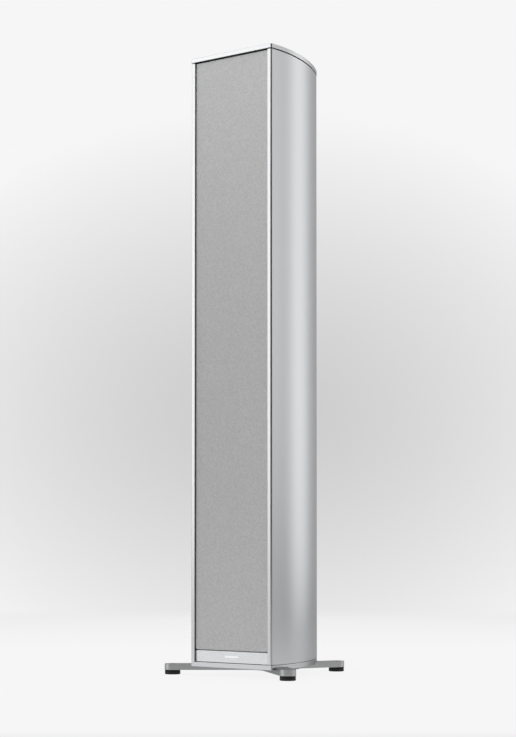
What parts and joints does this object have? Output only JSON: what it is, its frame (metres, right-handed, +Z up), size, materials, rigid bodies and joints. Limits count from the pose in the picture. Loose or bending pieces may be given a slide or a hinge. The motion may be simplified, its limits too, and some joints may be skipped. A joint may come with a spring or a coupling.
{
  "type": "floorstanding speaker",
  "caption": "Slim floorstanding loudspeaker: curved aluminium cabinet, full-length recessed cloth grille, top cap over a shadow gap, low four-armed base with levelling feet.",
  "frame": {"origin": "middle of the footprint on the floor", "axes": "+Z up; the front faces -Y; +X is to the right when looking along +Y"},
  "size_m": [0.284, 0.269, 1.08],
  "materials": {
    "anodised_aluminium": "satin",
    "brushed_aluminium": "satin",
    "cast_aluminium": "satin",
    "zinc_steel": "satin",
    "copper_wire": "satin",
    "gold_plated_brass": "gloss",
    "ferrite": "matte",
    "mdf": "matte",
    "black_board": "matte",
    "black_abs": "satin",
    "red_abs": "gloss",
    "rubber": "matte",
    "acoustic_cloth": "matte",
    "paper_cone": "matte",
    "metal_cone": "satin",
    "treated_cotton": "matte",
    "polyester_wool": "matte"
  },
  "bodies": {
    "cabinet": {"cabinet_shell": "anodised_aluminium", "top_cap": "anodised_aluminium", "bottom_plate": "anodised_aluminium", "cap_gasket": "rubber", "top_board": "mdf", "bottom_board": "mdf", "baffle": "black_board", "midrange_partition": "mdf", "brace_upper": "mdf", "brace_lower": "mdf", "lower_plate": "brushed_aluminium", "plate_mark": "brushed_aluminium", "tweeter_faceplate": "black_abs", "tweeter_motor": "ferrite", "midrange_basket": "cast_aluminium", "midrange_motor": "ferrite", "midrange_surround": "rubber", "midrange_spider": "treated_cotton", "woofer_upper_basket": "cast_aluminium", "woofer_upper_motor": "ferrite", "woofer_upper_surround": "rubber", "woofer_upper_spider": "treated_cotton", "woofer_lower_basket": "cast_aluminium", "woofer_lower_motor": "ferrite", "woofer_lower_surround": "rubber", "woofer_lower_spider": "treated_cotton", "port_upper": "black_abs", "port_lower": "black_abs", "terminal_cup": "black_abs", "binding_post_red": "gold_plated_brass", "binding_post_black": "gold_plated_brass", "crossover_board": "black_board", "woofer_choke": "copper_wire", "midrange_choke": "copper_wire", "capacitor": "black_abs", "damping_wool": "polyester_wool", "base_cross": "cast_aluminium", "base_bolt_front": "zinc_steel", "base_bolt_rear": "zinc_steel"},
    "grille": {"grille_frame": "black_abs", "grille_cloth": "acoustic_cloth"},
    "tweeter_diaphragm": {"tweeter_dome": "metal_cone"},
    "midrange_diaphragm": {"midrange_cone": "metal_cone", "midrange_voice_coil": "copper_wire"},
    "woofer_upper_diaphragm": {"woofer_upper_cone": "paper_cone", "woofer_upper_voice_coil": "copper_wire"},
    "woofer_lower_diaphragm": {"woofer_lower_cone": "paper_cone", "woofer_lower_voice_coil": "copper_wire"},
    "foot_front_right": {"foot_pad_front_right": "rubber"},
    "stud_front_right": {"foot_stud_front_right": "zinc_steel"},
    "foot_front_left": {"foot_pad_front_left": "rubber"},
    "stud_front_left": {"foot_stud_front_left": "zinc_steel"},
    "foot_rear_right": {"foot_pad_rear_right": "rubber"},
    "stud_rear_right": {"foot_stud_rear_right": "zinc_steel"},
    "foot_rear_left": {"foot_pad_rear_left": "rubber"},
    "stud_rear_left": {"foot_stud_rear_left": "zinc_steel"},
    "washer_red": {"clamp_washer_red": "gold_plated_brass"},
    "knob_red": {"knob_red": "red_abs"},
    "washer_black": {"clamp_washer_black": "gold_plated_brass"},
    "knob_black": {"knob_black": "black_abs"}
  },
  "joints": [
    {"name": "grille_pull", "type": "slide", "parent": "cabinet", "child": "grille", "axis": [0, -1, 0], "range_m": [0, 0.06]},
    {"name": "tweeter_dome_move", "type": "slide", "parent": "cabinet", "child": "tweeter_diaphragm", "axis": [0, -1, 0], "range_m": [-0.0004, 0.0004], "stiffness_N_per_m": 1000},
    {"name": "midrange_cone_move", "type": "slide", "parent": "cabinet", "child": "midrange_diaphragm", "axis": [0, -1, 0], "range_m": [-0.002, 0.002], "stiffness_N_per_m": 1500},
    {"name": "woofer_upper_cone_move", "type": "slide", "parent": "cabinet", "child": "woofer_upper_diaphragm", "axis": [0, -1, 0], "range_m": [-0.004, 0.004], "stiffness_N_per_m": 1500},
    {"name": "woofer_lower_cone_move", "type": "slide", "parent": "cabinet", "child": "woofer_lower_diaphragm", "axis": [0, -1, 0], "range_m": [-0.004, 0.004], "stiffness_N_per_m": 1500},
    {"name": "foot_front_right_travel", "type": "slide", "parent": "cabinet", "child": "foot_front_right", "axis": [0, 0, -1], "range_m": [0, 0.008]},
    {"name": "foot_front_right_turn", "type": "hinge", "parent": "foot_front_right", "child": "stud_front_right", "pos_m": [0.128, -0.1205, 0.014], "axis": [0, 0, -1], "range_deg": [0, 2304]},
    {"name": "foot_front_left_travel", "type": "slide", "parent": "cabinet", "child": "foot_front_left", "axis": [0, 0, -1], "range_m": [0, 0.008]},
    {"name": "foot_front_left_turn", "type": "hinge", "parent": "foot_front_left", "child": "stud_front_left", "pos_m": [-0.128, -0.1205, 0.014], "axis": [0, 0, -1], "range_deg": [0, 2304]},
    {"name": "foot_rear_right_travel", "type": "slide", "parent": "cabinet", "child": "foot_rear_right", "axis": [0, 0, -1], "range_m": [0, 0.008]},
    {"name": "foot_rear_right_turn", "type": "hinge", "parent": "foot_rear_right", "child": "stud_rear_right", "pos_m": [0.05, 0.1205, 0.014], "axis": [0, 0, -1], "range_deg": [0, 2304]},
    {"name": "foot_rear_left_travel", "type": "slide", "parent": "cabinet", "child": "foot_rear_left", "axis": [0, 0, -1], "range_m": [0, 0.008]},
    {"name": "foot_rear_left_turn", "type": "hinge", "parent": "foot_rear_left", "child": "stud_rear_left", "pos_m": [-0.05, 0.1205, 0.014], "axis": [0, 0, -1], "range_deg": [0, 2304]},
    {"name": "knob_red_travel", "type": "slide", "parent": "cabinet", "child": "washer_red", "axis": [0, 1, 0], "range_m": [0, 0.006]},
    {"name": "knob_red_turn", "type": "hinge", "parent": "washer_red", "child": "knob_red", "pos_m": [-0.0105, 0.0835, 0.124], "axis": [0, 1, 0], "range_deg": [0, 2160]},
    {"name": "knob_black_travel", "type": "slide", "parent": "cabinet", "child": "washer_black", "axis": [0, 1, 0], "range_m": [0, 0.006]},
    {"name": "knob_black_turn", "type": "hinge", "parent": "washer_black", "child": "knob_black", "pos_m": [0.0105, 0.0835, 0.124], "axis": [0, 1, 0], "range_deg": [0, 2160]}
  ],
  "couplings": [
    {"joint": "foot_front_right_turn", "follows": "foot_front_right_travel", "rad_per_m": 5026.5},
    {"joint": "foot_front_left_turn", "follows": "foot_front_left_travel", "rad_per_m": 5026.5},
    {"joint": "foot_rear_right_turn", "follows": "foot_rear_right_travel", "rad_per_m": 5026.5},
    {"joint": "foot_rear_left_turn", "follows": "foot_rear_left_travel", "rad_per_m": 5026.5},
    {"joint": "knob_red_turn", "follows": "knob_red_travel", "rad_per_m": 6283.2},
    {"joint": "knob_black_turn", "follows": "knob_black_travel", "rad_per_m": 6283.2}
  ]
}
